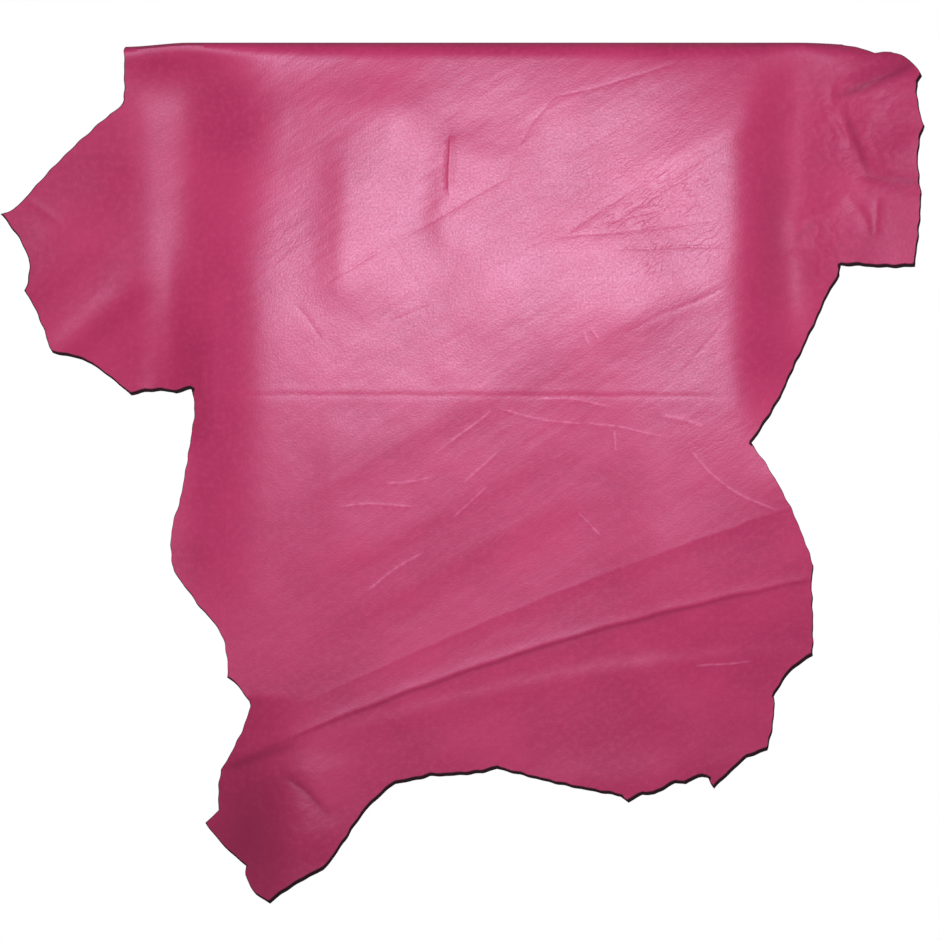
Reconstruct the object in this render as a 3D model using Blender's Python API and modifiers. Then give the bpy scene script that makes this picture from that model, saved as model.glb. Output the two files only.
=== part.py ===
"""A whole dyed calf hide, hung grain side out over a rail that is left out.

The hide is one piece of leather, so it is one closed sheet. The front holds the back, belly
and hind legs, the fold lies just above the forelegs, and the neck hangs behind. The grain
faces -Y, and the origin is in the middle of the fold, where the hide bears on its rail.

The cut outline is worked out as laid flat: x across, and the length along the leather from
the top line of the fold, positive in front and negative behind. Hung sizes are drops below
the fold. All sizes are in millimetres until the points are placed, in metres.
"""

import math
from collections import namedtuple

import bmesh
import bpy
from mathutils import Vector
from mathutils.geometry import delaunay_2d_cdt

MM = 0.001

# The leather.
THICKNESS = 1.6
GRAIN_COLOUR = (0.50, 0.050, 0.135, 1.0)
GRAIN_ROUGHNESS = 0.45

# The fold over the rail.
RAIL_RADIUS = 17.0
BEND_RADIUS = RAIL_RADIUS + THICKNESS / 2
QUARTER_BEND = BEND_RADIUS * math.pi / 2
BEND_SAVING = QUARTER_BEND - BEND_RADIUS

# The front swells forward off the rail, and a storage crease crosses it.
SWELL = 8.0
SWELL_START = 12.0
SWELL_SOFTNESS = 3.0
SWELL_DROP = 100.0
CREASE_DROP = 424.0

# The neck behind swings back a little, in two shallow waves, and the left shoulder behind
# swings out past the end of the rail.
NECK_SWING = 16.0
NECK_SWING_DROP = 250.0
NECK_WAVE = 7.0
NECK_WAVE_LENGTH = 340.0
SHOULDER_SLOPE = 0.22
SHOULDER_FROM = -240.0
SHOULDER_SOFTNESS = 15.0
SHOULDER_DROP = 70.0

# The ends of the fold sag past the ends of the rail.
END_SAG = 5.0
LEFT_SAG_FROM = -330.0
LEFT_SAG_TO = -409.0
RIGHT_SAG_FROM = 400.0
RIGHT_SAG_TO = 520.0

# The mesh.
EDGE_PITCH = 15.0
SHEET_PITCH = 25.0
BEND_PITCH = 7.0
BEND_ZONE = QUARTER_BEND + 12.0
EDGE_MARGIN = 0.55
MERGE_GAP = 1e-5

# The flat hide lies within these limits.
HALF_REACH = 600.0
NECK_REACH = 480.0
LEG_REACH = 1080.0

# The cut edge: a corner of the outline, and how far the stretch that follows it bows outward.
Corner = namedtuple("Corner", "x drop bow")
EDGE_STRETCHES = {
    "right foreleg": (
        Corner(456, 1, 1), Corner(493, 9, 0), Corner(513, 7, 5), Corner(548, 38, 0),
        Corner(542, 46, -3), Corner(549, 99, -2), Corner(541, 142, 0), Corner(545, 180, 1),
        Corner(539, 252, 0), Corner(537, 267, 1), Corner(473, 267, 0),
    ),
    "right flank": (
        Corner(451, 268, 0), Corner(450, 281, -2), Corner(426, 331, 0), Corner(380, 428, 1),
    ),
    "right hind leg": (
        Corner(345, 482, 7), Corner(421, 630, 0), Corner(419, 650, 1), Corner(422, 739, -6),
        Corner(376, 789, 3), Corner(368, 855, 0), Corner(344, 864, -1), Corner(304, 902, 0),
    ),
    "rump": (
        Corner(296, 888, -3), Corner(270, 896, 0), Corner(257, 895, 0), Corner(231, 909, 0),
        Corner(216, 909, 0), Corner(200, 919, 0), Corner(190, 911, 2), Corner(40, 877, 0),
        Corner(23, 882, 1), Corner(-42, 886, 1), Corner(-83, 895, -4),
    ),
    "left hind leg": (
        Corner(-136, 951, 1), Corner(-171, 1001, -3), Corner(-236, 1042, 0),
        Corner(-253, 1032, 1), Corner(-264, 1015, 1), Corner(-266, 996, 3),
        Corner(-316, 945, 0), Corner(-299, 929, 2), Corner(-296, 879, -3),
        Corner(-259, 801, 0), Corner(-260, 794, -2), Corner(-286, 765, -2),
    ),
    "left flank": (
        Corner(-291, 718, -2), Corner(-311, 690, 1), Corner(-351, 636, 7),
        Corner(-344, 553, -1), Corner(-325, 443, -1),
    ),
    "left foreleg": (
        Corner(-329, 417, 0), Corner(-348, 421, -4), Corner(-403, 419, -1),
        Corner(-450, 381, -1), Corner(-475, 373, 0), Corner(-494, 369, 0),
        Corner(-498, 362, -3), Corner(-525, 295, -3), Corner(-520, 256, -3),
        Corner(-552, 205, -3), Corner(-523, 183, 3), Corner(-426, 80, -2), Corner(-410, 63, 0),
    ),
    "left shoulder, behind": (
        Corner(-409, 3, 1), Corner(-398, -60, 4), Corner(-352, -150, -6),
    ),
    "neck, behind": (
        Corner(-280, -232, -10), Corner(-252, -385, 3), Corner(-236, -410, 12),
        Corner(140, -432, 2), Corner(158, -410, -14),
    ),
    "right shoulder, behind": (
        Corner(232, -262, -8), Corner(392, -132, 6),
    ),
}

# Bends that run down the sheet: beyond x the slope towards the viewer changes. The change
# comes in quickly from one drop, is full at the next, and fades out between the last two.
Bend = namedtuple("Bend", "x slope_change softness starts full_from full_to ends")
BENDS = (
    Bend(180, 0.07, 45, 0, 220, 430, 620),
    Bend(336, -0.48, 11, 4, 100, 370, 540),
    Bend(398, 0.78, 8, 4, 100, 260, 420),
    Bend(-100, -0.08, 28, 4, 120, 110, 230),
    Bend(-250, 0.08, 20, 4, 120, 110, 230),
    Bend(-262, -0.38, 13, 4, 110, 540, 860),
    Bend(-334, 0.44, 9, 4, 110, 440, 760),
    Bend(-386, 0.38, 9, 4, 110, 440, 760),
    Bend(-205, -0.42, 14, 790, 890, 1100, 1200),
)

# Turns: under the run from (x, drop) to (to_x, to_drop) the slope changes for good. A minus
# leans the sheet further back.
Turn = namedtuple("Turn", "name x drop to_x to_drop bow slope_change softness")
TURNS = (
    Turn("below the shoulder", -300, 330, 300, 330, 0, -0.050, 24),
    Turn("storage crease", -300, CREASE_DROP, 300, CREASE_DROP, 0, -0.030, 3),
    Turn("upper drape line", -225, 562, 95, 385, 0, -0.050, 8),
    Turn("main drape line", -330, 884, 480, 634, 26, -0.050, 14),
    Turn("left hind leg", -330, 840, -70, 970, 0, 0.080, 20),
)

# Folds: a run from (x, drop) to (to_x, to_drop) that bows by bow, raised by height, and how
# far it spreads over and under its line. A trough has a negative height.
Fold = namedtuple("Fold", "name x drop to_x to_drop bow height over under")
FOLDS = (
    Fold("neck step", -133, 100, -149, 345, 0, 3.4, 75, 29),
    Fold("left foreleg hang", -620, 440, -300, 440, 0, -40.0, 130, 40),
    Fold("right foreleg hang", 350, 290, 700, 290, 0, 10.0, 150, 60),
    Fold("neck fold", 200, 176, 400, 66, 0, 2.0, 40, 18),
    Fold("back fold", -70, 296, 290, 300, 0, 3.5, 110, 80),
    Fold("upper drape fold", -225, 562, 95, 385, 0, 1.2, 50, 20),
    Fold("second drape fold", -225, 664, 150, 460, 0, 2.0, 60, 26),
    Fold("third drape fold", -215, 722, 190, 515, 0, 1.8, 50, 24),
    Fold("right flank swell", 130, 690, 640, 480, 0, 9.0, 95, 150),
    Fold("long drape fold", -250, 822, 500, 525, 10, 1.5, 40, 16),
    Fold("main drape fold", -330, 884, 480, 634, 26, 2.4, 45, 20),
    Fold("low drape fold", -230, 872, 480, 724, 27, 1.4, 18, 18),
    Fold("rump curl", 40, 905, 400, 878, 0, 3.0, 30, 30),
    Fold("left foreleg ridge", -512, 388, -378, 262, 0, 5.5, 26, 18),
    Fold("left foreleg trough", -535, 325, -400, 205, 0, -2.2, 18, 24),
    Fold("left foreleg upper ridge", -530, 255, -400, 135, 0, 2.0, 24, 24),
    Fold("right foreleg top fold", 436, 60, 556, 12, -4, 3.6, 14, 26),
    Fold("right foreleg shaded fold", 484, 150, 560, 106, 0, 2.4, 20, 14),
    Fold("right foreleg valley", 446, 58, 490, 172, -6, -3.4, 14, 14),
    Fold("right foreleg crease", 462, 156, 570, 182, 2, -2.8, 30, 14),
    Fold("right foreleg low fold", 392, 236, 476, 172, 0, 2.0, 14, 14),
    Fold("right foreleg lump", 400, 262, 408, 200, 0, 2.6, 18, 14),
    Fold("hind leg ridge", -212, 845, -186, 1000, 0, 5.0, 60, 34),
    Fold("right foreleg low ridge", 490, 176, 496, 310, 0, 3.0, 20, 26),
)
FOLD_END = 0.30
FOLD_FADE_IN = (4.0, 26.0)


def smooth_step(value, start, end):
    """0 at start and 1 at end, with a soft start and stop."""
    t = min(max((value - start) / (end - start), 0.0), 1.0)
    return t * t * (3 - 2 * t)


def soft_ramp(distance, softness):
    """0 below zero, then rising one for one, with the corner rounded by softness."""
    steepness = distance / softness
    return softness * (max(steepness, 0.0) + math.log1p(math.exp(-abs(steepness))))


def along(drop):
    """The length of leather from the top line of the fold to a hung drop."""
    depth = abs(drop)
    if depth < BEND_RADIUS:
        length = BEND_RADIUS * math.acos(1 - depth / BEND_RADIUS)
    else:
        length = depth + BEND_SAVING
    return math.copysign(length, drop)


def bowed_run(start, end, bow, pitch):
    """Points from start up to end, on a shallow arc that bows to the left of the run."""
    run = Vector(end) - Vector(start)
    side = Vector((run.y, -run.x)).normalized()
    steps = max(1, round(run.length / pitch))
    points = []
    for step in range(steps):
        t = step / steps
        points.append(Vector(start) + run * t + side * bow * 4 * t * (1 - t))
    return points


def cut_outline(pitch):
    """The hide's cut edge laid flat, as one ring of points."""
    corners = [corner for stretch in EDGE_STRETCHES.values() for corner in stretch]
    flat = [(corner.x, along(corner.drop)) for corner in corners]
    ring = []
    for index, corner in enumerate(corners):
        following = flat[(index + 1) % len(flat)]
        ring += bowed_run(flat[index], following, corner.bow, pitch)
    return ring


def bend_height(bend, x, drop):
    """The height that a bend gives each point, counted outward from the middle."""
    outward = math.copysign(1, bend.x)
    passed = (drop - bend.starts) / (bend.full_from - bend.starts)
    fade_in = 1 - (1 - min(max(passed, 0.0), 1.0)) ** 3
    fade_out = 1 - smooth_step(drop, bend.full_to, bend.ends)
    ramp = soft_ramp((x - bend.x) * outward, bend.softness)
    return bend.slope_change * ramp * fade_in * fade_out


def beside(run, x, drop):
    """The share of a run that a point has passed, and how far over its line it lies."""
    run_x = run.to_x - run.x
    run_drop = run.to_drop - run.drop
    length = math.hypot(run_x, run_drop)
    off_x = x - run.x
    off_drop = drop - run.drop
    passed = (off_x * run_x + off_drop * run_drop) / length**2
    passed = min(max(passed, 0.0), 1.0)
    over = (off_x * run_drop - off_drop * run_x) / length
    return passed, over - run.bow * 4 * passed * (1 - passed)


def turn_height(turn, x, drop):
    """The height that a turn gives the point at x and drop, which is nothing over its line."""
    _, over = beside(turn, x, drop)
    return turn.slope_change * soft_ramp(-over, turn.softness)


def fold_height(fold, x, drop):
    """How far a fold lifts the point at x and drop towards the viewer."""
    passed, over = beside(fold, x, drop)
    spread = fold.over if over > 0 else fold.under
    ends = smooth_step(passed, 0, FOLD_END) * smooth_step(1 - passed, 0, FOLD_END)
    return fold.height * ends * math.exp(-((over / spread) ** 2))


def front_depth(x, drop):
    """How far the front stands forward of the middle of the rail."""
    below_bend = soft_ramp(drop - SWELL_START, SWELL_SOFTNESS)
    depth = BEND_RADIUS + SWELL * (1 - math.exp(-below_bend / SWELL_DROP))
    for bend in BENDS:
        depth += bend_height(bend, x, drop)
    for turn in TURNS:
        depth += turn_height(turn, x, drop)
    folds = sum(fold_height(fold, x, drop) for fold in FOLDS)
    return depth + folds * smooth_step(drop, *FOLD_FADE_IN)


def back_depth(x, drop):
    """How far the neck behind stands back from the middle of the rail."""
    swing = smooth_step(drop, BEND_RADIUS / 2, NECK_SWING_DROP)
    wave = math.cos(2 * math.pi * x / NECK_WAVE_LENGTH)
    shoulder = SHOULDER_SLOPE * soft_ramp(SHOULDER_FROM - x, SHOULDER_SOFTNESS)
    shoulder *= smooth_step(drop, 0, SHOULDER_DROP)
    return BEND_RADIUS + swing * (NECK_SWING + NECK_WAVE * wave) + shoulder


def sag(x):
    """How far the fold sags below the rail's top line at x."""
    left = smooth_step(-x, -LEFT_SAG_FROM, -LEFT_SAG_TO)
    right = smooth_step(x, RIGHT_SAG_FROM, RIGHT_SAG_TO)
    return END_SAG * (left + right)


def hung(x, length):
    """Where a point of the flat hide lies once it hangs, in millimetres."""
    turn = min(abs(length) / BEND_RADIUS, math.pi / 2)
    drop = BEND_RADIUS * (1 - math.cos(turn)) + max(0.0, abs(length) - QUARTER_BEND)
    if length > 0:
        y = -front_depth(x, drop) + BEND_RADIUS * (1 - math.sin(turn))
    else:
        y = back_depth(x, drop) - BEND_RADIUS * (1 - math.sin(turn))
    return Vector((x, y, THICKNESS / 2 - drop - sag(x)))


def fold_line_points(pitch):
    """Rows of points along the lines of the bends, turns and folds, for the mesh to follow."""
    lines = []
    for bend in BENDS:
        lines.append(((bend.x, bend.full_from), (bend.x, bend.full_to), 0))
    for run in TURNS + FOLDS:
        lines.append(((run.x, run.drop), (run.to_x, run.to_drop), run.bow))
    points = []
    for start, end, bow in lines:
        points += [Vector((x, along(drop))) for x, drop in bowed_run(start, end, bow, pitch)]
    return points


def lattice_points(pitch, bend_pitch):
    """Staggered rows over the whole hide, closer together round the bend."""
    points = []
    length = -NECK_REACH
    row = 0
    while length < LEG_REACH:
        x = -HALF_REACH + (row % 2) * pitch / 2
        while x < HALF_REACH:
            points.append(Vector((x, length)))
            x += pitch
        in_bend = abs(length) < BEND_ZONE
        length += bend_pitch if in_bend else pitch * math.sqrt(3) / 2
        row += 1
    return points


def inside(point, ring):
    """Whether a flat point lies within the ring."""
    crossings = 0
    for index, here in enumerate(ring):
        there = ring[index - 1]
        if (here.y > point.y) != (there.y > point.y):
            share = (point.y - here.y) / (there.y - here.y)
            crossings += point.x < here.x + share * (there.x - here.x)
    return crossings % 2 == 1


def kept_apart(ring, candidates, pitch):
    """The ring's points and then each candidate that isn't too near one already kept."""
    cell = pitch
    cells = {}
    kept = []

    def keep(point):
        kept.append(point)
        key = (math.floor(point.x / cell), math.floor(point.y / cell))
        cells.setdefault(key, []).append(point)

    def crowded(point, gap):
        column = math.floor(point.x / cell)
        row = math.floor(point.y / cell)
        for i in (column - 1, column, column + 1):
            for j in (row - 1, row, row + 1):
                if any((other - point).length < gap for other in cells.get((i, j), ())):
                    return True
        return False

    for point in ring:
        keep(point)
    for point in candidates:
        in_bend = abs(point.y) < BEND_ZONE
        gap = EDGE_MARGIN * (BEND_PITCH if in_bend else pitch)
        if not crowded(point, gap) and inside(point, ring):
            keep(point)
    return kept


def hide_mesh():
    """The hide's middle surface, hung, as an open mesh with its grain side facing out."""
    ring = cut_outline(EDGE_PITCH)
    candidates = fold_line_points(SHEET_PITCH) + lattice_points(SHEET_PITCH, BEND_PITCH)
    points = kept_apart(ring, candidates, SHEET_PITCH)
    border = [list(range(len(ring)))]
    only_inside = 1
    flat, _, faces, _, _, _ = delaunay_2d_cdt(points, [], border, only_inside, MERGE_GAP)
    sheet = bmesh.new()
    corners = [sheet.verts.new(hung(*point) * MM) for point in flat]
    for face in faces:
        sheet.faces.new([corners[index] for index in face])
    bmesh.ops.recalc_face_normals(sheet, faces=sheet.faces)
    front_face = min(sheet.faces, key=lambda face: face.calc_center_median().y)
    if front_face.normal.y > 0:
        bmesh.ops.reverse_faces(sheet, faces=sheet.faces)
    mesh = bpy.data.meshes.new("hide")
    sheet.to_mesh(mesh)
    sheet.free()
    mesh.shade_smooth()
    return mesh


def dyed_leather():
    """Raspberry aniline-dyed grain with a light finish."""
    leather = bpy.data.materials.new("dyed grain leather")
    leather.use_nodes = True
    shader = leather.node_tree.nodes["Principled BSDF"]
    shader.inputs["Base Color"].default_value = GRAIN_COLOUR
    shader.inputs["Roughness"].default_value = GRAIN_ROUGHNESS
    shader.inputs["Metallic"].default_value = 0.0
    return leather


def make_hide(collection):
    """The whole hide: the hung middle surface, thickened equally to both sides."""
    hide = bpy.data.objects.new("hide", hide_mesh())
    hide.data.materials.append(dyed_leather())
    collection.objects.link(hide)
    thicken = hide.modifiers.new("leather thickness", "SOLIDIFY")
    thicken.thickness = THICKNESS * MM
    thicken.offset = 0.0
    thicken.use_even_offset = False
    return hide


def clear_scene():
    for leftover in list(bpy.data.objects):
        bpy.data.objects.remove(leftover, do_unlink=True)


def main():
    clear_scene()
    collection = bpy.data.collections.new("leather hide")
    bpy.context.scene.collection.children.link(collection)
    make_hide(collection)


main()
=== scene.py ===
"""The looks of one whole dyed calf hide, hung grain side out over a rail that is left out.

The leather is one sheet. It is worked out as laid flat, with the cut outline and the main
bends and folds of the solid that it stands for, and lies within about 8 mm of it. Its softer
swells, small folds, creases, scars and wrinkles are its own. x runs across, and length runs
along the leather from the top line of the fold, positive in front and negative behind. Sizes
are in millimetres until the points are placed.
"""
import math
from collections import namedtuple

import bpy
import numpy as np
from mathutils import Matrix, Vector
from mathutils.geometry import delaunay_2d_cdt


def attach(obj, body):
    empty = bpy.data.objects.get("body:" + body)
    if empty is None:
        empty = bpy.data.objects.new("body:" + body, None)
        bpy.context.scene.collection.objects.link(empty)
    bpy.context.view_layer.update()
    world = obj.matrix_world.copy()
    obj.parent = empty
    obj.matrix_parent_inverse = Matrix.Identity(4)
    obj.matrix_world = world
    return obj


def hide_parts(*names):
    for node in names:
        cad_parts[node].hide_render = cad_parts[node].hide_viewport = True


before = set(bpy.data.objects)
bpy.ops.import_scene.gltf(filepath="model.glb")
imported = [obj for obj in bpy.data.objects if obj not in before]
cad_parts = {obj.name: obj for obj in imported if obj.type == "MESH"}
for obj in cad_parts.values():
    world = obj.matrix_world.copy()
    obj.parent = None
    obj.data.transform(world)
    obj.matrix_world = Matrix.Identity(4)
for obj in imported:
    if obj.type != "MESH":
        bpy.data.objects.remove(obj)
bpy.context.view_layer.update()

MM = 0.001

# The thickness of the leather.
THICKNESS = 1.6

# The fold over the rail. Round its quarter bend the leather drops less than its own length.
RAIL_RADIUS = 17.0
BEND_RADIUS = RAIL_RADIUS + THICKNESS / 2
QUARTER_BEND = BEND_RADIUS * math.pi / 2
BEND_SAVING = QUARTER_BEND - BEND_RADIUS

# The front swells forward off the rail, and a storage crease crosses it.
SWELL = 8.0
SWELL_START = 12.0
SWELL_SOFTNESS = 3.0
SWELL_DROP = 100.0
CREASE_DROP = 424.0

# The neck behind swings back a little, in two shallow waves, and the left shoulder behind
# swings out past the end of the rail.
NECK_SWING = 16.0
NECK_SWING_DROP = 250.0
NECK_WAVE = 7.0
NECK_WAVE_LENGTH = 340.0
SHOULDER_SLOPE = 0.22
SHOULDER_FROM = -240.0
SHOULDER_SOFTNESS = 15.0
SHOULDER_DROP = 70.0

# The ends of the fold sag past the ends of the rail.
END_SAG = 5.0
LEFT_SAG_FROM = -330.0
LEFT_SAG_TO = -409.0
RIGHT_SAG_FROM = 400.0
RIGHT_SAG_TO = 520.0

# How far apart the points of the mesh lie along the cut, along a crease and over the sheet,
# how close a point in a crease or on the sheet may come to those already there, and how close
# two points are one.
EDGE_PITCH = 4.0
CREASE_PITCH = 5.0
SHEET_PITCH = 5.8
CREASE_GAP = 1.1
SHEET_GAP = 3.2
MERGE_GAP = 1e-5

# A fold or crease no wider than this has rows of points on its line and beside it, at these
# multiples of its width.
SHARP = 10.0
BESIDE_CREASE = (0, 0.8, -0.8, 1.8, -1.8)

# Faces that turn by more than this angle meet in a square edge, as along the cut.
SQUARE_CUT = math.radians(50)

# The flat hide lies within these limits, to either side, behind and in front.
HALF_REACH = 600.0
NECK_REACH = 480.0
LEG_REACH = 1080.0

# The leather is firm along the back and looser over the flanks and the belly.
BACK_MIDDLE = 30.0
FLANK = (260.0, 390.0)
BELLY = (380.0, 520.0)
BELLY_LOOSENESS = 0.6

# A painted shadow along the cut, which stands for the shade under the hide's lower edges: its
# width at the narrowest and the widest, the way that the edge faces where it is widest, across
# and down, and how far inside the cut the rows of points lie that it follows.
SHADOW_RIM_SIDE = 0.7
SHADOW_RIM_BELOW = 5.2
SHADOW_RIM_FACES = (0.35, 0.94)
SHADOW_RIM_ROWS = (1.5, 3.2, 5.2)

# How far the knife strayed along the cut, and the lengths of the two waves that it made.
RAGGED = 0.35
KNIFE_WAVES = (2.9, 4.3)

# The cut edge: a corner of the outline, and how far the stretch that follows it bows outward.
Corner = namedtuple("Corner", "x drop bow")
EDGE_STRETCHES = {
    "right foreleg": (
        Corner(456, 1, 1), Corner(493, 9, 0), Corner(513, 7, 5), Corner(548, 38, 0),
        Corner(542, 46, -3), Corner(549, 99, -2), Corner(541, 142, 0), Corner(545, 180, 1),
        Corner(539, 252, 0), Corner(537, 267, 1), Corner(473, 267, 0),
    ),
    "right flank": (
        Corner(451, 268, 0), Corner(450, 281, -2), Corner(426, 331, 0), Corner(380, 428, 1),
    ),
    "right hind leg": (
        Corner(345, 482, 7), Corner(421, 630, 0), Corner(419, 650, 1), Corner(422, 739, -6),
        Corner(376, 789, 3), Corner(368, 855, 0), Corner(344, 864, -1), Corner(304, 902, 0),
    ),
    "rump": (
        Corner(296, 888, -3), Corner(270, 896, 0), Corner(257, 895, 0), Corner(231, 909, 0),
        Corner(216, 909, 0), Corner(200, 919, 0), Corner(190, 911, 2), Corner(40, 877, 0),
        Corner(23, 882, 1), Corner(-42, 886, 1), Corner(-83, 895, -4),
    ),
    "left hind leg": (
        Corner(-136, 951, 1), Corner(-171, 1001, -3), Corner(-236, 1042, 0),
        Corner(-253, 1032, 1), Corner(-264, 1015, 1), Corner(-266, 996, 3),
        Corner(-316, 945, 0), Corner(-299, 929, 2), Corner(-296, 879, -3),
        Corner(-259, 801, 0), Corner(-260, 794, -2), Corner(-286, 765, -2),
    ),
    "left flank": (
        Corner(-291, 718, -2), Corner(-311, 690, 1), Corner(-351, 636, 7),
        Corner(-344, 553, -1), Corner(-325, 443, -1),
    ),
    "left foreleg": (
        Corner(-329, 417, 0), Corner(-348, 421, -4), Corner(-403, 419, -1),
        Corner(-450, 381, -1), Corner(-475, 373, 0), Corner(-494, 369, 0),
        Corner(-498, 362, -3), Corner(-525, 295, -3), Corner(-520, 256, -3),
        Corner(-552, 205, -3), Corner(-523, 183, 3), Corner(-426, 80, -2), Corner(-410, 63, 0),
    ),
    "left shoulder, behind": (
        Corner(-409, 3, 1), Corner(-398, -60, 4), Corner(-352, -150, -6),
    ),
    "neck, behind": (
        Corner(-280, -232, -10), Corner(-252, -385, 3), Corner(-236, -410, 12),
        Corner(140, -432, 2), Corner(158, -410, -14),
    ),
    "right shoulder, behind": (
        Corner(232, -262, -8), Corner(392, -132, 6),
    ),
}

# Bends that run down the sheet: outward of x the slope towards the viewer changes. At the top
# the line of the bend lies further outward, by outward_at_top, and it comes in to x by the
# drop straight_from. The change of slope is rounded off over softness. It comes in quickly
# from the drop where it starts, holds from full_from to full_to, and is gone where it ends.
Bend = namedtuple(
    "Bend",
    "x outward_at_top straight_from slope_change softness starts full_from full_to ends",
)
BENDS = (
    Bend(180, 0, 150, 0.07, 45, 0, 220, 430, 620),
    Bend(333, 22, 150, -0.48, 9, 4, 100, 370, 540),
    Bend(398, 6, 150, 0.78, 6, 4, 100, 260, 420),
    Bend(-100, 0, 150, -0.08, 28, 4, 120, 60, 300),
    Bend(-250, 0, 150, 0.08, 20, 4, 120, 60, 300),
    Bend(-262, 0, 150, -0.38, 13, 4, 110, 540, 860),
    Bend(-334, 0, 150, 0.44, 9, 4, 110, 440, 760),
    Bend(-376, 12, 300, 0.38, 9, 4, 110, 440, 760),
    Bend(-205, 0, 150, -0.42, 14, 790, 890, 1100, 1200),
)

# Turns: under the run from (x, drop) to (to_x, to_drop), which bows by bow, the slope changes
# for good, rounded off over softness. A minus leans the sheet further back.
Turn = namedtuple("Turn", "name x drop to_x to_drop bow slope_change softness")
TURNS = (
    Turn("below the shoulder", -300, 330, 300, 330, 0, -0.050, 24),
    Turn("storage crease", -300, CREASE_DROP, 300, CREASE_DROP, 0, -0.030, 3),
    Turn("upper drape line", -225, 562, 95, 385, 0, -0.050, 8),
    Turn("main drape line", -300, 877, 480, 634, 27, -0.050, 14),
    Turn("left hind leg", -330, 840, -70, 970, 0, 0.080, 20),
)

# Folds: each follows such a run, is raised by height, and spreads so far over its line, which
# is left of the run, and so far under it. A trough has a negative height.
Fold = namedtuple("Fold", "name x drop to_x to_drop bow height over under")
FOLDS = (
    Fold("neck step", -133, 100, -149, 345, 0, 3.4, 75, 29),
    Fold("left foreleg hang", -620, 440, -300, 440, 0, -40.0, 130, 40),
    Fold("right foreleg hang", 350, 290, 700, 290, 0, 10.0, 150, 60),
    Fold("dent step", -13, 85, -26, 270, 0, 2.4, 90, 22),
    Fold("upper shoulder fold", -280, 200, 30, 40, 0, 1.0, 30, 60),
    Fold("left shoulder swell", -300, 85, -10, 85, 0, 5.0, 48, 60),
    Fold("middle shoulder fold", -40, 275, 300, 226, 0, 0.9, 22, 34),
    Fold("neck fold", 200, 176, 400, 66, 0, 1.8, 40, 14),
    Fold("top shoulder fold", 60, 124, 290, 10, 0, 1.2, 60, 30),
    Fold("low neck fold", 150, 362, 340, 272, 0, 0.8, 45, 24),
    Fold("back fold", -70, 296, 290, 300, 0, 3.5, 110, 80),
    Fold("upper drape fold", -225, 562, 95, 385, 0, 1.0, 50, 20),
    Fold("second drape fold", -225, 664, 150, 460, 0, 2.0, 60, 26),
    Fold("third drape fold", -215, 722, 190, 515, 0, 1.8, 50, 24),
    Fold("right flank swell", 130, 690, 640, 480, 0, 9.0, 95, 150),
    Fold("right belly swell", 140, 545, 500, 535, 0, 8.0, 125, 190),
    Fold("long drape fold", -250, 824, 500, 525, 16, 1.1, 34, 12),
    Fold("main drape fold", -300, 877, 480, 634, 27, 1.2, 30, 20),
    Fold("low drape fold", -260, 874, 500, 732, 37, 1.3, 8, 16),
    Fold("rump curl", 40, 905, 400, 878, 0, 3.0, 30, 30),
    Fold("rump drape fold", 190, 725, 315, 900, 0, 3.0, 28, 30),
    Fold("left foreleg ridge", -516, 398, -378, 268, 0, 5.0, 20, 18),
    Fold("left foreleg trough", -535, 342, -400, 224, 0, -2.2, 18, 40),
    Fold("left foreleg upper ridge", -530, 255, -400, 135, 0, 2.0, 24, 24),
    Fold("left flank valley", -356, 230, -350, 430, 0, -1.6, 13, 13),
    Fold("right foreleg top fold", 436, 60, 556, 12, -4, 3.6, 9, 26),
    Fold("right foreleg shaded fold", 484, 148, 560, 114, 0, 4.2, 22, 20),
    Fold("right foreleg crease", 462, 156, 570, 182, 2, -2.6, 30, 8),
    Fold("right foreleg low fold", 392, 236, 476, 172, 0, 2.0, 12, 14),
    Fold("right foreleg lump", 400, 262, 408, 200, 0, 2.6, 18, 10),
    Fold("right foreleg low ridge", 490, 176, 496, 310, 0, 1.2, 20, 26),
    Fold("hind leg ridge", -212, 845, -186, 1000, 0, 5.0, 60, 34),
    Fold("hind leg upper fold", -300, 870, -180, 832, 0, 1.4, 14, 9),
    Fold("hind leg hollow", -230, 872, -156, 948, 3, -1.3, 9, 9),
)

# Smaller folds, by the end of the rail and on the legs.
SMALL_FOLDS = (
    Fold("curl by the rail end", 412, 10, 458, 50, 11, 1.2, 7, 9),
    Fold("lump by the rail end", 400, 8, 420, 58, 0, 0.5, 16, 9),
    Fold("fold by the rail end", 374, 88, 414, 48, 0, 1.6, 5, 12),
    Fold("nick below the curl", 440, 44, 443, 84, 0, -1.4, 4, 6),
    Fold("right foreleg upright fold", 486, 62, 480, 140, 0, 1.0, 12, 10),
    Fold("crease under the top fold", 436, 68, 556, 12, -3, -1.3, 5, 6),
    Fold("crease under the shaded fold", 466, 156, 576, 170, 0, -1.2, 7, 5),
    Fold("right foreleg short crease", 426, 72, 460, 130, 2, 1.7, 8, 4),
    Fold("right foreleg valley", 446, 58, 490, 172, -6, -3.0, 8, 10),
    Fold("right foreleg wave", 444, 176, 484, 234, 10, -1.7, 5, 8),
    Fold("right foreleg wrinkle", 495, 178, 492, 238, 0, -1.7, 3, 5),
    Fold("right foreleg near wrinkle", 482, 196, 486, 236, 0, -0.9, 3, 5),
    Fold("upright storage crease", -155, 430, -155, 640, 0, 1.0, 60, 20),
    Fold("left foreleg tip crease", -534, 178, -476, 218, 0, -0.9, 4, 4),
)

# Folds and creases fade out over these shares of their length at each end, and none lifts
# the leather on the rail: they come in between these drops.
FOLD_END = 0.30
CREASE_END = 0.14
FOLD_FADE_IN = (4.0, 26.0)

# How far a crease strays from a plain line, in a slow wave and a quicker, weaker one, and the
# lengths that set the pace of each.
WANDER = 0.45
SLOW_WAVE = (11.0, 29.0)
QUICK_WAVE = (8.0, 17.0)
QUICK_SHARE = 0.6

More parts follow.
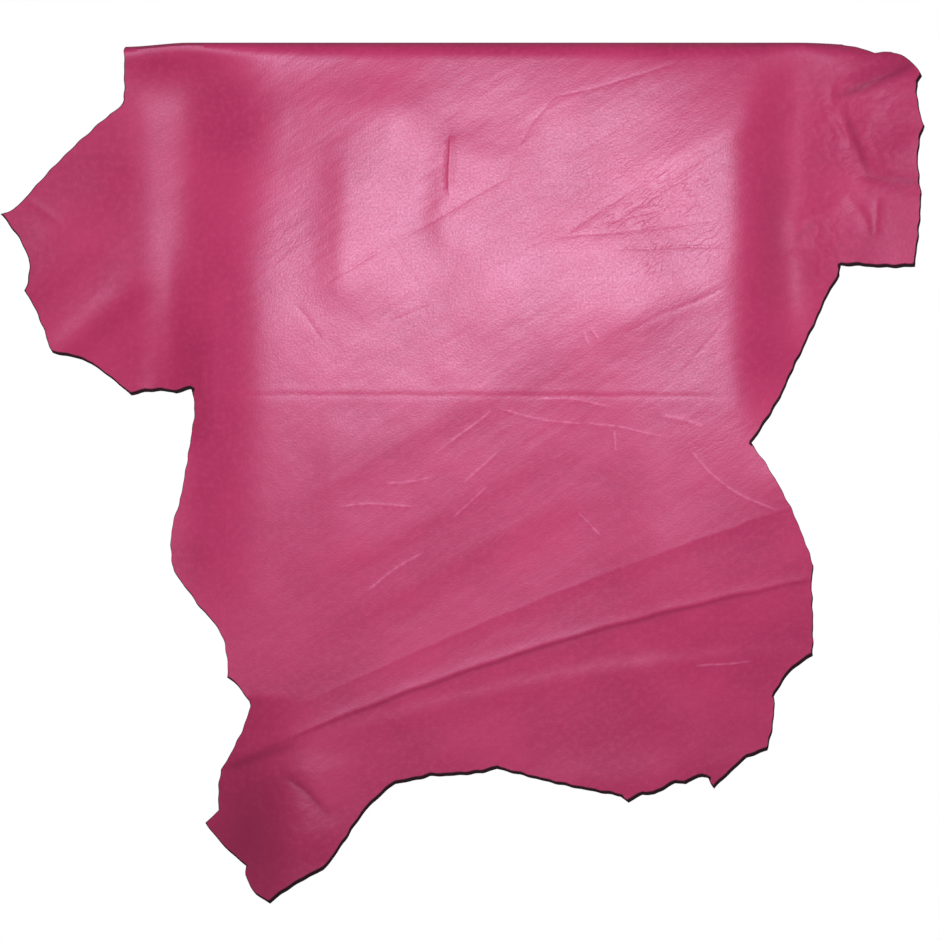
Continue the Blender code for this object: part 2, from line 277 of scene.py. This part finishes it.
# Sharp creases, laid out as the folds are: a furrow has a negative height, and a ridge a
# positive one.
Crease = namedtuple("Crease", "x drop to_x to_drop bow height over under")
CREASES = (
    Crease(-168, 292, -100, 250, 0, -0.35, 2.0, 2.0),
    Crease(-104, 254, 60, 158, 0, -0.3, 2.0, 2.0),
    Crease(52, 168, 84, 92, 3, -0.2, 2.0, 2.0),
    Crease(80, 98, 112, 62, 0, -0.2, 2.0, 2.0),
    Crease(104, 68, 262, 22, -3, -0.2, 1.8, 1.8),
    Crease(-89, 232, -55, 296, 2, -0.2, 1.8, 1.8),
    Crease(-202, 315, -170, 358, 0, -0.2, 2.0, 2.0),
    Crease(-17, 110, -19, 184, 0, 0.8, 6, 1.5),
    Crease(-90, 337, -36, 315, 0, -0.2, 1.8, 1.8),
    Crease(-42, 318, 106, 232, 2, -0.15, 1.8, 1.8),
    Crease(98, 236, 316, 213, -2, -0.2, 1.8, 1.8),
    Crease(114, 236, 228, 160, 0, -0.25, 2.2, 2.2),
    Crease(170, 221, 232, 186, 0, -0.3, 2.0, 2.0),
    Crease(224, 190, 290, 145, 0, -0.3, 2.0, 2.0),
    Crease(222, 165, 328, 106, 0, -0.35, 2.6, 2.6),
    Crease(174, 250, 326, 247, 1, -0.35, 1.8, 1.8),
    Crease(188, 352, 250, 322, 0, -0.2, 2.4, 2.4),
    Crease(244, 326, 316, 295, 0, -0.3, 2.8, 2.8),
    Crease(262, 396, 318, 330, 0, -0.15, 2.0, 2.0),
    Crease(-330, CREASE_DROP, 360, CREASE_DROP + 2, 0, -0.24, 2.6, 2.6),
    Crease(-300, CREASE_DROP - 7, 300, CREASE_DROP - 5, 0, 0.1, 4.0, 4.0),
    Crease(-300, 877, 480, 634, 27, 1.1, 6.0, 2.0),
    Crease(-250, 824, 500, 525, 16, 0.3, 4.0, 2.0),
    Crease(-222, 884, -172, 926, 4, -0.5, 3.0, 3.0),
)

# Healed scratches, raised a little.
SCARS = (
    Crease(-40, 498, 40, 437, 0, 0.12, 1.4, 1.4),
    Crease(34, 438, 150, 458, -5, 0.09, 1.4, 1.4),
    Crease(140, 456, 245, 476, 2, 0.07, 1.4, 1.4),
    Crease(-4, 532, 44, 490, 0, 0.09, 1.4, 1.4),
    Crease(-98, 530, -34, 522, -2, 0.09, 1.4, 1.4),
    Crease(-154, 560, -56, 560, 5, 0.15, 1.5, 1.5),
    Crease(-122, 664, -44, 610, 3, 0.12, 1.4, 1.4),
    Crease(-14, 572, 30, 532, 0, 0.09, 1.4, 1.4),
    Crease(266, 482, 385, 564, -14, 0.12, 1.5, 1.5),
    Crease(230, 448, 290, 462, 2, 0.18, 2.4, 2.4),
    Crease(84, 428, 182, 440, 4, 0.09, 1.4, 1.4),
    Crease(180, 464, 183, 492, 0, 0.09, 1.4, 1.4),
    Crease(135, 563, 166, 595, 0, 0.07, 1.4, 1.4),
    Crease(143, 346, 150, 366, 0, 0.18, 1.6, 1.6),
    Crease(151, 344, 163, 360, 0, 0.18, 1.6, 1.6),
    Crease(276, 752, 350, 745, 0, 0.09, 1.4, 1.4),
)

# Creases darkened with painted shade. In place of a height they have the strength of the shade.
SHADED_CREASES = (
    Crease(436, 68, 556, 12, -3, 0.7, 5.0, 5.0),
    Crease(452, 74, 488, 172, 3, 0.5, 4.0, 4.0),
    Crease(470, 158, 572, 170, 0, 0.4, 4.0, 4.0),
    Crease(490, 190, 484, 244, 0, 0.3, 3.0, 3.0),
    Crease(390, 246, 426, 212, 0, 0.3, 4.0, 4.0),
    Crease(-310, 884, -190, 842, 0, 0.5, 6.0, 6.0),
    Crease(-300, 880, 480, 637, 27, 0.5, 2.5, 3.5),
    Crease(-226, 876, -160, 940, 3, 0.4, 5.0, 5.0),
)

# Where the grain is finely wrinkled, where the leather is crumpled, where shade is painted
# darker, where handling has taken the shine, and the way that the wrinkles over the neck run.
Patch = namedtuple("Patch", "x drop half_width half_drop strength")
WRINKLED = (
    Patch(235, 200, 110, 120, 1.0),
    Patch(300, 470, 60, 40, 0.8),
    Patch(470, 130, 90, 90, 0.8),
    Patch(-210, 250, 50, 120, 0.5),
    Patch(-230, 930, 70, 60, 0.6),
)
CRUMPLED = (
    Patch(460, 90, 70, 75, 0.9),
    Patch(425, 225, 35, 40, 0.8),
    Patch(-215, 935, 60, 60, 0.5),
    Patch(-480, 280, 60, 70, 0.3),
)
SHADED_PATCHES = (
    Patch(-262, 955, 55, 80, 0.75),
    Patch(370, 230, 22, 110, 0.4),
)
DULLED = (
    Patch(400, 130, 36, 170, 1.0),
    Patch(460, 130, 70, 110, 0.3),
)
NECK_GRAIN = math.radians(-34)

# The values painted on the sheet: how loose, scarred, wrinkled, crumpled and dulled the
# leather is, how much painted shade darkens it, and how many widths of the painted shadow it
# lies from the cut.
PAINTED = ("loose", "scar", "shadow_rims_away", "wrinkled", "crumpled", "dulled", "painted_shade")

# The patterns in each leather: how far apart their features lie, how many finer layers they
# have, and how many times longer they are along the wrinkles over the neck. Calf pebble and
# the nap of the flesh side are under a millimetre, and are drawn at 2.6 and 3 mm to show at
# this distance.
Pattern = namedtuple("Pattern", "millimetres layers drawn_out", defaults=(1.0,))
GRAIN_PATTERNS = {
    "dye clouds": Pattern(110, 3.0),
    "dye flecks": Pattern(7, 2.0),
    "pebble": Pattern(2.6, 2.0),
    "hand wear": Pattern(45, 2.0),
    "swell": Pattern(55, 2.0),
    "pull streaks": Pattern(16, 2.0, 5.0),
    "wrinkles": Pattern(9, 2.5, 2.6),
    "wrinkle groups": Pattern(40, 1.0),
    "crumple": Pattern(34, 2.5),
}
SUEDE_PATTERNS = {
    "dye clouds": Pattern(90, 3.0),
    "nap": Pattern(3, 4.0),
    "swell": Pattern(40, 2.0),
}
EDGE_PATTERNS = {"dye clouds": Pattern(4, 2.0)}

# Where one dye gives way to the next in a cloudy pattern, the strength of the wrinkles
# between their groups, and how many of its widths from the cut the painted shadow fades.
CLOUDY = (0.35, 0.65)
BETWEEN_GROUPS = 0.25
SHADOW_RIM_FADES = (0.75, 1.05)

# The sockets of a colour mix: the colour beneath, the one laid over it, and the outcome.
BENEATH, LAID_OVER, OUTCOME = 6, 7, 2

# How wide the picture is, and where the camera and the floor are, in metres, and the width of
# the sensor in millimetres.
FRAME_WIDTH = 1.133
CAMERA_X = 0.007
CAMERA_Z = -0.5135
CAMERA_DISTANCE = 6.0
SENSOR_WIDTH = 36.0
FLOOR_HEIGHT = -1.30
FLOOR_SIZE = 3.0

# The lamps, in metres, degrees and watts, and how strongly the white room lights the leather
# and shows behind it.
Lamp = namedtuple("Lamp", "name place target radius beam power")
LAMPS = (
    Lamp("key beside the camera", (0.05, -3.2, -0.10), (0.05, 0, -0.30), 0.30, 42, 430),
    Lamp("fill behind", (0.60, 3.0, -0.45), (0, 0, -0.50), 0.80, 60, 150),
)
ROOM_LIGHT = 0.25
ROOM_SEEN = 1.0


def smooth_step(value, start, end):
    """0 at start and 1 at end, with a soft start and stop."""
    t = np.clip((value - start) / (end - start), 0.0, 1.0)
    return t * t * (3 - 2 * t)


def soft_ramp(distance, softness):
    """0 below zero, then rising one for one, with the corner rounded by softness."""
    return softness * np.logaddexp(0.0, distance / softness)


def along(drop):
    """The length of leather from the top line of the fold to a hung drop."""
    depth = abs(drop)
    if depth < BEND_RADIUS:
        length = BEND_RADIUS * math.acos(1 - depth / BEND_RADIUS)
    else:
        length = depth + BEND_SAVING
    return math.copysign(length, drop)


def bowed_run(start, end, bow, pitch):
    """Points from start up to end, on a shallow arc that bows left of the run, neck uppermost."""
    run = Vector(end) - Vector(start)
    side = Vector((run.y, -run.x)).normalized()
    steps = max(1, round(run.length / pitch))
    points = []
    for step in range(steps):
        t = step / steps
        points.append(Vector(start) + run * t + side * bow * 4 * t * (1 - t))
    return points


def strayed(length):
    """An uneven wave along a length, from about -2 to 2."""
    short, long = KNIFE_WAVES
    return math.sin(length / short) + math.sin(length / long + 1)


def cut_outline(pitch):
    """The hide's cut edge laid flat, as one ring of points."""
    corners = [corner for stretch in EDGE_STRETCHES.values() for corner in stretch]
    flat = [(corner.x, along(corner.drop)) for corner in corners]
    ring = []
    for index, corner in enumerate(corners):
        following = flat[(index + 1) % len(flat)]
        ring += bowed_run(flat[index], following, corner.bow, pitch)
    return [point + RAGGED * Vector((strayed(point.y), strayed(point.x))) for point in ring]


def bend_height(bend, x, drop):
    """The height that a bend gives each point, counted outward from the middle."""
    outward = math.copysign(1, bend.x)
    passed = np.clip((drop - bend.starts) / (bend.full_from - bend.starts), 0.0, 1.0)
    fade_in = 1 - (1 - passed) ** 3
    fade_out = 1 - smooth_step(drop, bend.full_to, bend.ends)
    shift = bend.outward_at_top * (1 - smooth_step(drop, 0, bend.straight_from))
    ramp = soft_ramp((x - bend.x) * outward - shift, bend.softness)
    return bend.slope_change * ramp * fade_in * fade_out


def beside(run, x, drop):
    """The share of a run that each point has passed, and how far over its line it lies."""
    run_x = run.to_x - run.x
    run_drop = run.to_drop - run.drop
    length = math.hypot(run_x, run_drop)
    off_x = x - run.x
    off_drop = drop - run.drop
    passed = np.clip((off_x * run_x + off_drop * run_drop) / length**2, 0.0, 1.0)
    over = (off_x * run_drop - off_drop * run_x) / length
    return passed, over - run.bow * 4 * passed * (1 - passed)


def turn_height(turn, x, drop):
    """The height that a turn gives each point, which is nothing over its line."""
    _, over = beside(turn, x, drop)
    return turn.slope_change * soft_ramp(-over, turn.softness)


def line_height(run, x, drop, height, end=FOLD_END):
    """How far a fold or crease along run lifts each point towards the viewer."""
    passed, over = beside(run, x, drop)
    spread = np.where(over > 0, run.over, run.under)
    ends = smooth_step(passed, 0, end) * smooth_step(1 - passed, 0, end)
    return height * ends * np.exp(-((over / spread) ** 2))


def wander(one, other):
    """How far a crease strays from a plain line, as a crease in leather does."""
    slow = np.sin(other / SLOW_WAVE[0] + one / SLOW_WAVE[1])
    quick = np.sin(one / QUICK_WAVE[0] - other / QUICK_WAVE[1])
    return WANDER * (slow + QUICK_SHARE * quick)


def front_depth(x, drop):
    """How far the front stands forward of the middle of the rail."""
    below_bend = soft_ramp(drop - SWELL_START, SWELL_SOFTNESS)
    depth = BEND_RADIUS + SWELL * (1 - np.exp(-below_bend / SWELL_DROP))
    for bend in BENDS:
        depth += bend_height(bend, x, drop)
    for turn in TURNS:
        depth += turn_height(turn, x, drop)
    folds = 0
    for fold in FOLDS + SMALL_FOLDS:
        folds = folds + line_height(fold, x, drop, fold.height)
    wandered = (x + wander(x, drop), drop + wander(drop, x))
    for crease in CREASES + SCARS:
        folds = folds + line_height(crease, *wandered, crease.height, CREASE_END)
    return depth + folds * smooth_step(drop, *FOLD_FADE_IN)


def back_depth(x, drop):
    """How far the neck behind stands back from the middle of the rail."""
    swing = smooth_step(drop, BEND_RADIUS / 2, NECK_SWING_DROP)
    wave = np.cos(2 * math.pi * x / NECK_WAVE_LENGTH)
    shoulder = SHOULDER_SLOPE * soft_ramp(SHOULDER_FROM - x, SHOULDER_SOFTNESS)
    shoulder = shoulder * smooth_step(drop, 0, SHOULDER_DROP)
    return BEND_RADIUS + swing * (NECK_SWING + NECK_WAVE * wave) + shoulder


def sag(x):
    """How far the fold sags below the rail's top line at x."""
    left = smooth_step(x, LEFT_SAG_FROM, LEFT_SAG_TO)
    right = smooth_step(x, RIGHT_SAG_FROM, RIGHT_SAG_TO)
    return END_SAG * (left + right)


def hung(flat):
    """Where the points of the flat hide lie once it hangs, in millimetres."""
    x, length = flat[:, 0], flat[:, 1]
    turn = np.minimum(np.abs(length) / BEND_RADIUS, math.pi / 2)
    drop = BEND_RADIUS * (1 - np.cos(turn)) + np.maximum(0.0, np.abs(length) - QUARTER_BEND)
    round_off = BEND_RADIUS * (1 - np.sin(turn))
    y = np.where(
        length > 0, round_off - front_depth(x, drop), back_depth(x, drop) - round_off
    )
    return np.column_stack((x, y, THICKNESS / 2 - drop - sag(x)))


def inside(points, ring):
    """Which of the flat points lie within the ring."""
    crossings = np.zeros(len(points), dtype=int)
    for index, here in enumerate(ring):
        there = ring[index - 1]
        spans = (here.y > points[:, 1]) != (there.y > points[:, 1])
        rise = there.y - here.y
        if rise:
            share = (points[:, 1] - here.y) / rise
            crossings += spans & (points[:, 0] < here.x + share * (there.x - here.x))
    return crossings % 2 == 1


def crease_points():
    """Rows of points along each sharp line and beside it."""
    points = []
    for line in FOLDS + SMALL_FOLDS + CREASES + SCARS + SHADED_CREASES:
        width = min(line.over, line.under)
        if width > SHARP:
            continue
        centre = bowed_run(
            (line.x, line.drop), (line.to_x, line.to_drop), line.bow, CREASE_PITCH
        )
        run = Vector((line.to_x - line.x, line.to_drop - line.drop)).normalized()
        side = Vector((run.y, -run.x))
        for offset in BESIDE_CREASE:
            points += [point + side * offset * width for point in centre]
    return [(p.x - wander(p.x, p.y), along(p.y - wander(p.y, p.x))) for p in points]


def inward_turn(ring):
    """1 if a quarter turn from x towards length leads from the ring's run inside, or -1."""
    enclosed = 0
    for index, here in enumerate(ring):
        last = ring[index - 1]
        enclosed += last.x * here.y - here.x * last.y
    return math.copysign(1, enclosed)


def shadow_rim_points(ring):
    """Rows of points just inside the cut, for the edge of the painted shadow to follow."""
    inward = inward_turn(ring)
    points = []
    for index, here in enumerate(ring):
        run = (here - ring[index - 1]).normalized()
        side = Vector((-run.y, run.x)) * inward
        points += [here + side * away for away in SHADOW_RIM_ROWS]
    return points


def lattice_points(pitch):
    """Staggered rows over the whole hide."""
    points = []
    row_gap = pitch * math.sqrt(3) / 2
    for row, length in enumerate(np.arange(-NECK_REACH, LEG_REACH, row_gap)):
        start = -HALF_REACH + (row % 2) * pitch / 2
        points += [(x, length) for x in np.arange(start, HALF_REACH, pitch)]
    return points


def kept_apart(ring, groups):
    """The ring's points, then those of each group of candidates that aren't crowded."""
    cell = SHEET_PITCH
    cells = {}
    kept = []

    def keep(x, y):
        kept.append(Vector((x, y)))
        cells.setdefault((x // cell, y // cell), []).append((x, y))

    def crowded(x, y, gap):
        column, row = x // cell, y // cell
        for i in (column - 1, column, column + 1):
            for j in (row - 1, row, row + 1):
                for other_x, other_y in cells.get((i, j), ()):
                    if (other_x - x) ** 2 + (other_y - y) ** 2 < gap * gap:
                        return True
        return False

    for point in ring:
        keep(point.x, point.y)
    for candidates, gap in groups:
        candidates = np.array(candidates)
        for x, y in candidates[inside(candidates, ring)]:
            if not crowded(x, y, gap):
                keep(float(x), float(y))
    return kept


def shadow_rims_away(flat, ring):
    """How far each flat point lies from the cut, in widths of the painted shadow there."""
    nearest = np.full(len(flat), np.inf)
    inward = inward_turn(ring)
    for index, here in enumerate(ring):
        start = np.array(ring[index - 1])
        run = np.array(here) - start
        outward = np.array((run[1], -run[0])) * inward / math.hypot(*run)
        faces = max(0.0, float(outward @ SHADOW_RIM_FACES)) ** 2
        width = SHADOW_RIM_SIDE + (SHADOW_RIM_BELOW - SHADOW_RIM_SIDE) * faces
        t = np.clip((flat - start) @ run / (run @ run), 0.0, 1.0)
        away = np.hypot(*(flat - start - t[:, None] * run).T)
        nearest = np.minimum(nearest, away / width)
    return nearest


def patched(patches, x, drop):
    """How strongly the patches cover each point, from 0 to 1."""
    share = 0
    for patch in patches:
        across = (x - patch.x) / patch.half_width
        down = (drop - patch.drop) / patch.half_drop
        share = share + patch.strength * np.exp(-(across**2) - down**2)
    return np.minimum(share, 1.0)


def painted_values(flat, ring):
    """The value of each kind that is painted on the sheet, for each flat point."""
    across = flat[:, 0]
    drop = np.maximum(flat[:, 1] - BEND_SAVING, 0)
    flank = smooth_step(np.abs(across - BACK_MIDDLE), *FLANK)
    belly = BELLY_LOOSENESS * smooth_step(drop, *BELLY)
    wandered = (across + wander(across, drop), drop + wander(drop, across))
    # Painted shade along the shaded creases, darkest on their lines.
    dyed = sum(line_height(crease, *wandered, crease.height) for crease in SHADED_CREASES)
    return {
        "loose": np.maximum(flank, belly),
        "scar": sum(line_height(scar, *wandered, 1, CREASE_END) for scar in SCARS),
        "shadow_rims_away": shadow_rims_away(flat, ring),
        "wrinkled": patched(WRINKLED, across, drop),
        "crumpled": patched(CRUMPLED, across, drop),
        "dulled": patched(DULLED, across, drop),
        "painted_shade": dyed + patched(SHADED_PATCHES, across, drop),
    }


def hide_sheet():
    """The hide's middle surface, hung, with its grain facing out and its cut as a UV map."""
    ring = cut_outline(EDGE_PITCH)
    groups = (
        (shadow_rim_points(ring), CREASE_GAP),
        (crease_points(), CREASE_GAP),
        (lattice_points(SHEET_PITCH), SHEET_GAP),
    )
    border = [list(range(len(ring)))]
    only_inside = 1
    flat, _, faces, *_ = delaunay_2d_cdt(
        kept_apart(ring, groups), [], border, only_inside, MERGE_GAP
    )
    flat = np.array([tuple(point) for point in flat])
    mesh = bpy.data.meshes.new("hide_leather")
    mesh.from_pydata((hung(flat) * MM).tolist(), [], [tuple(face) for face in faces])
    mesh.update()
    foremost = min(mesh.polygons, key=lambda face: face.center.y)
    if foremost.normal.y > 0:
        mesh.flip_normals()
    mesh.shade_smooth()
    values = painted_values(flat, ring)
    for name in PAINTED:
        layer = mesh.attributes.new(name, "FLOAT", "POINT")
        layer.data.foreach_set("value", values[name].astype(np.float32))
    cut = mesh.uv_layers.new(name="cut")
    loops = np.empty(len(mesh.loops), dtype=int)
    mesh.loops.foreach_get("vertex_index", loops)
    cut.data.foreach_set("uv", (flat[loops] * MM).ravel())
    return mesh


def linear(hex_colour):
    """A linear colour with alpha from an sRGB hex value."""
    parts = [int(hex_colour[i : i + 2], 16) / 255 for i in (1, 3, 5)]
    linear_parts = [p / 12.92 if p <= 0.04045 else ((p + 0.055) / 1.055) ** 2.4 for p in parts]
    return linear_parts + [1.0]


def add_node(tree, kind, settings=None, links=None):
    """Adds a node, with settings by attribute or socket, and links from sockets or nodes."""
    node = tree.nodes.new(kind)
    for name, value in (settings or {}).items():
        if hasattr(node, name):
            setattr(node, name, value)
        else:
            node.inputs[name].default_value = value
    for name, source in (links or {}).items():
        socket = source.outputs[0] if isinstance(source, bpy.types.Node) else source
        tree.links.new(socket, node.inputs[name])
    return node


def new_leather(name, patterns):
    """A new leather, its node tree and shader, and its patterns by name, each from 0 to 1."""
    leather = bpy.data.materials.new(name)
    leather.use_nodes = True
    tree = leather.node_tree
    cut = add_node(tree, "ShaderNodeUVMap", {"uv_map": "cut"})
    made = {}
    for feature, pattern in patterns.items():
        place = cut
        if pattern.drawn_out > 1:
            scale = (pattern.drawn_out, 1, 1)
            turned = {"vector_type": "TEXTURE", "Rotation": (0, 0, NECK_GRAIN), "Scale": scale}
            place = add_node(tree, "ShaderNodeMapping", turned, {"Vector": cut})
        size = {"Scale": 1 / (pattern.millimetres * MM), "Detail": pattern.layers}
        made[feature] = add_node(tree, "ShaderNodeTexNoise", size, {"Vector": place})
    return leather, tree, tree.nodes["Principled BSDF"], made


def dye(tree, shader, ground, coats):
    """Colours the ground and lays each coat of dye, painted shade or painted shadow over it, as
    its pattern goes from start to full.
    """
    colour = None
    for pattern, start, full, coat in coats:
        span = {"From Min": start, "From Max": full}
        share = add_node(tree, "ShaderNodeMapRange", span, {"Value": pattern})
        mix = add_node(tree, "ShaderNodeMix", {"data_type": "RGBA"}, {"Factor": share})
        mix.inputs[LAID_OVER].default_value = linear(coat)
        if colour:
            tree.links.new(colour, mix.inputs[BENEATH])
        else:
            mix.inputs[BENEATH].default_value = linear(ground)
        colour = mix.outputs[OUTCOME]
    tree.links.new(colour, shader.inputs["Base Color"])


def roughen(tree, shader, parts):
    """Adds up the roughness, each part low where its pattern is at start and high at end."""
    total = None
    for pattern, start, end, low, high in parts:
        span = {"From Min": start, "From Max": end, "To Min": low, "To Max": high}
        part = add_node(tree, "ShaderNodeMapRange", span, {"Value": pattern})
        if total:
            part = add_node(tree, "ShaderNodeMath", {"operation": "ADD"}, {0: total, 1: part})
        total = part
    tree.links.new(total.outputs[0], shader.inputs["Roughness"])


def furrow(tree, pattern, width, strength):
    """Furrows where a pattern crosses its middle, as wide as this share of its height."""
    centred = add_node(tree, "ShaderNodeMapRange", {"To Min": -1.0}, {"Value": pattern})
    away = add_node(tree, "ShaderNodeMath", {"operation": "ABSOLUTE"}, {0: centred})
    walls = add_node(tree, "ShaderNodeMapRange", {"From Max": width}, {"Value": away})
    return add_node(tree, "ShaderNodeMath", {"operation": "MULTIPLY"}, {0: walls, 1: strength})


def emboss(tree, shader, reliefs):
    """Raises the surface by each pattern in turn, by its depth in millimetres."""
    normal = {}
    for pattern, depth in reliefs:
        links = {"Height": pattern} | normal
        bump = add_node(tree, "ShaderNodeBump", {"Strength": 1.0, "Distance": depth * MM}, links)
        normal = {"Normal": bump}
    tree.links.new(bump.outputs[0], shader.inputs["Normal"])


def dye_and_shade_grain(tree, shader, pattern, painted):
    """Dye that takes unevenly, in clouds a hand across and in flecks.

    Healed scratches took less of it. Painted shade darkens the creases, the left hind leg and
    a strip on the right side, and a painted shadow darkens the cut.
    """
    broken_scar = add_node(
        tree, "ShaderNodeMath", {"operation": "MULTIPLY"},
        {0: painted["scar"], 1: pattern["dye flecks"]},
    )
    dye(tree, shader, "#A22854", (
        (pattern["dye clouds"], *CLOUDY, "#AE2F5C"),
        (pattern["dye flecks"], 0.45, 0.95, "#B43762"),
        (broken_scar, 0.12, 0.9, "#CA648D"),
        # Painted shade: darker in the creases and over the shaded patches.
        (painted["painted_shade"], 0.0, 1.0, "#841C42"),
        # Painted shadow: near black along the cut, widest under the edges that face down.
        (painted["shadow_rims_away"], *reversed(SHADOW_RIM_FADES), "#1C0A0C"),
    ))


def polish_grain(tree, shader, pattern, painted):
    """A light shine, duller where the leather is loose or handled and along the cut.

    Each pebble of the grain glints.
    """
    roughen(tree, shader, (
        (painted["loose"], 0, 1, 0.40, 0.50),
        (painted["dulled"], 0, 1, 0.0, 0.16),
        (painted["shadow_rims_away"], *SHADOW_RIM_FADES, 0.6, 0.0),
        (pattern["pebble"], 0, 1, 0.09, -0.09),
        (pattern["hand wear"], 0, 1, -0.03, 0.03),
    ))
    shader.inputs["Specular IOR Level"].default_value = 0.45
    shader.inputs["Specular Tint"].default_value = linear("#F2E0FF")


def emboss_grain(tree, shader, pattern, painted):
    """Soft swells, streaks along the pull of the fold, crumple, wrinkles and the pebble.

    The wrinkles lie in groups, and keep a share of their strength in between.
    """
    groups = add_node(
        tree, "ShaderNodeMapRange",
        {"From Min": CLOUDY[0], "From Max": CLOUDY[1], "To Min": BETWEEN_GROUPS},
        {"Value": pattern["wrinkle groups"]},
    )
    wrinkled = add_node(
        tree, "ShaderNodeMath", {"operation": "MULTIPLY"}, {0: painted["wrinkled"], 1: groups}
    )
    emboss(tree, shader, (
        (pattern["swell"], 0.8),
        (pattern["pull streaks"], 0.4),
        (furrow(tree, pattern["crumple"], width=0.30, strength=painted["crumpled"]), 1.0),
        (furrow(tree, pattern["wrinkles"], width=0.10, strength=wrinkled), 0.14),
        (pattern["pebble"], 0.17),
    ))


def dyed_grain():
    """Raspberry aniline-dyed calf grain, with a light shine where the back is firm."""
    leather, tree, shader, pattern = new_leather("dyed_grain_leather", GRAIN_PATTERNS)
    painted = {}
    for name in PAINTED:
        value = add_node(tree, "ShaderNodeAttribute", {"attribute_name": name})
        painted[name] = value.outputs["Fac"]
    for finish in (dye_and_shade_grain, polish_grain, emboss_grain):
        finish(tree, shader, pattern, painted)
    return leather


def flesh_side():
    """The fibrous suede of the flesh side, dyed through but paler and without shine."""
    leather, tree, shader, pattern = new_leather("flesh_side_suede", SUEDE_PATTERNS)
    dye(tree, shader, "#9C4F66", (
        (pattern["dye clouds"], *CLOUDY, "#A9607A"),
        (pattern["nap"], 0.45, 0.80, "#BC8393"),
    ))
    shader.inputs["Roughness"].default_value = 0.95
    shader.inputs["Specular IOR Level"].default_value = 0.15
    shader.inputs["Sheen Weight"].default_value = 0.20
    shader.inputs["Sheen Roughness"].default_value = 0.60
    emboss(tree, shader, ((pattern["swell"], 0.8), (pattern["nap"], 0.5)))
    return leather


def cut_edge():
    """The raw cut edge, matt, where the core of the leather is dyed dark."""
    leather, tree, shader, pattern = new_leather("dyed_cut_edge", EDGE_PATTERNS)
    dye(tree, shader, "#2A0F16", ((pattern["dye clouds"], *CLOUDY, "#45202B"),))
    shader.inputs["Roughness"].default_value = 0.85
    shader.inputs["Specular IOR Level"].default_value = 0.20
    return leather


def make_hide():
    """The hide in its three finishes: the grain, the flesh side behind and the cut edge."""
    hide = bpy.data.objects.new("hide_leather", hide_sheet())
    bpy.context.scene.collection.objects.link(hide)
    for leather in (dyed_grain(), flesh_side(), cut_edge()):
        hide.data.materials.append(leather)
    thicken = hide.modifiers.new("leather thickness", "SOLIDIFY")
    thicken.thickness = THICKNESS * MM
    thicken.offset = 0.0
    thicken.material_offset = 1
    thicken.material_offset_rim = 2
    bpy.context.view_layer.update()
    graph = bpy.context.evaluated_depsgraph_get()
    thick = bpy.data.meshes.new_from_object(hide.evaluated_get(graph))
    thick.name = "hide_leather"
    hide.modifiers.clear()
    hide.data = thick
    thick.set_sharp_from_angle(angle=SQUARE_CUT)
    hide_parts("hide")
    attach(hide, "root")


def make_camera():
    """A long lens square on to the front, with the whole hide in its frame."""
    camera = bpy.data.cameras.new("camera")
    camera.sensor_width = SENSOR_WIDTH
    camera.lens = SENSOR_WIDTH * CAMERA_DISTANCE / FRAME_WIDTH
    eye = bpy.data.objects.new("camera", camera)
    eye.location = (CAMERA_X, -CAMERA_DISTANCE, CAMERA_Z)
    eye.rotation_euler = (math.pi / 2, 0, 0)
    bpy.context.scene.collection.objects.link(eye)
    bpy.context.scene.camera = eye


def make_floor():
    """A floor of matt paper, which gives a pale ground without a reflection."""
    bpy.ops.mesh.primitive_plane_add(size=FLOOR_SIZE, location=(0, 0, FLOOR_HEIGHT))
    floor = bpy.context.object
    floor.name = "floor"
    paper = bpy.data.materials.new("pale_paper")
    paper.use_nodes = True
    shader = paper.node_tree.nodes["Principled BSDF"]
    shader.inputs["Base Color"].default_value = linear("#F4F2EF")
    shader.inputs["Roughness"].default_value = 0.9
    floor.data.materials.append(paper)


def make_lamps():
    """Round lamps whose beams fall off softly to their edges."""
    for lamp in LAMPS:
        light = bpy.data.lights.new(lamp.name, "SPOT")
        light.spot_size = math.radians(lamp.beam)
        light.spot_blend = 1.0
        light.shadow_soft_size = lamp.radius
        light.energy = lamp.power
        holder = bpy.data.objects.new(lamp.name, light)
        holder.location = lamp.place
        aim = Vector(lamp.target) - Vector(lamp.place)
        holder.rotation_euler = aim.to_track_quat("-Z", "Y").to_euler()
        bpy.context.scene.collection.objects.link(holder)


def make_room():
    """A white room, brighter to look at than by the light that it gives."""
    room = bpy.data.worlds.new("white studio")
    room.use_nodes = True
    tree = room.node_tree
    tree.nodes.clear()
    path = add_node(tree, "ShaderNodeLightPath")
    mix = add_node(tree, "ShaderNodeMixShader", {}, {"Fac": path.outputs["Is Camera Ray"]})
    for socket, strength in ((1, ROOM_LIGHT), (2, ROOM_SEEN)):
        white = {"Color": (1, 1, 1, 1), "Strength": strength}
        light = add_node(tree, "ShaderNodeBackground", white)
        tree.links.new(light.outputs[0], mix.inputs[socket])
    add_node(tree, "ShaderNodeOutputWorld", {}, {"Surface": mix})
    bpy.context.scene.world = room
    bpy.context.scene.view_settings.view_transform = "Standard"


make_camera()
make_hide()
make_floor()
make_lamps()
make_room()
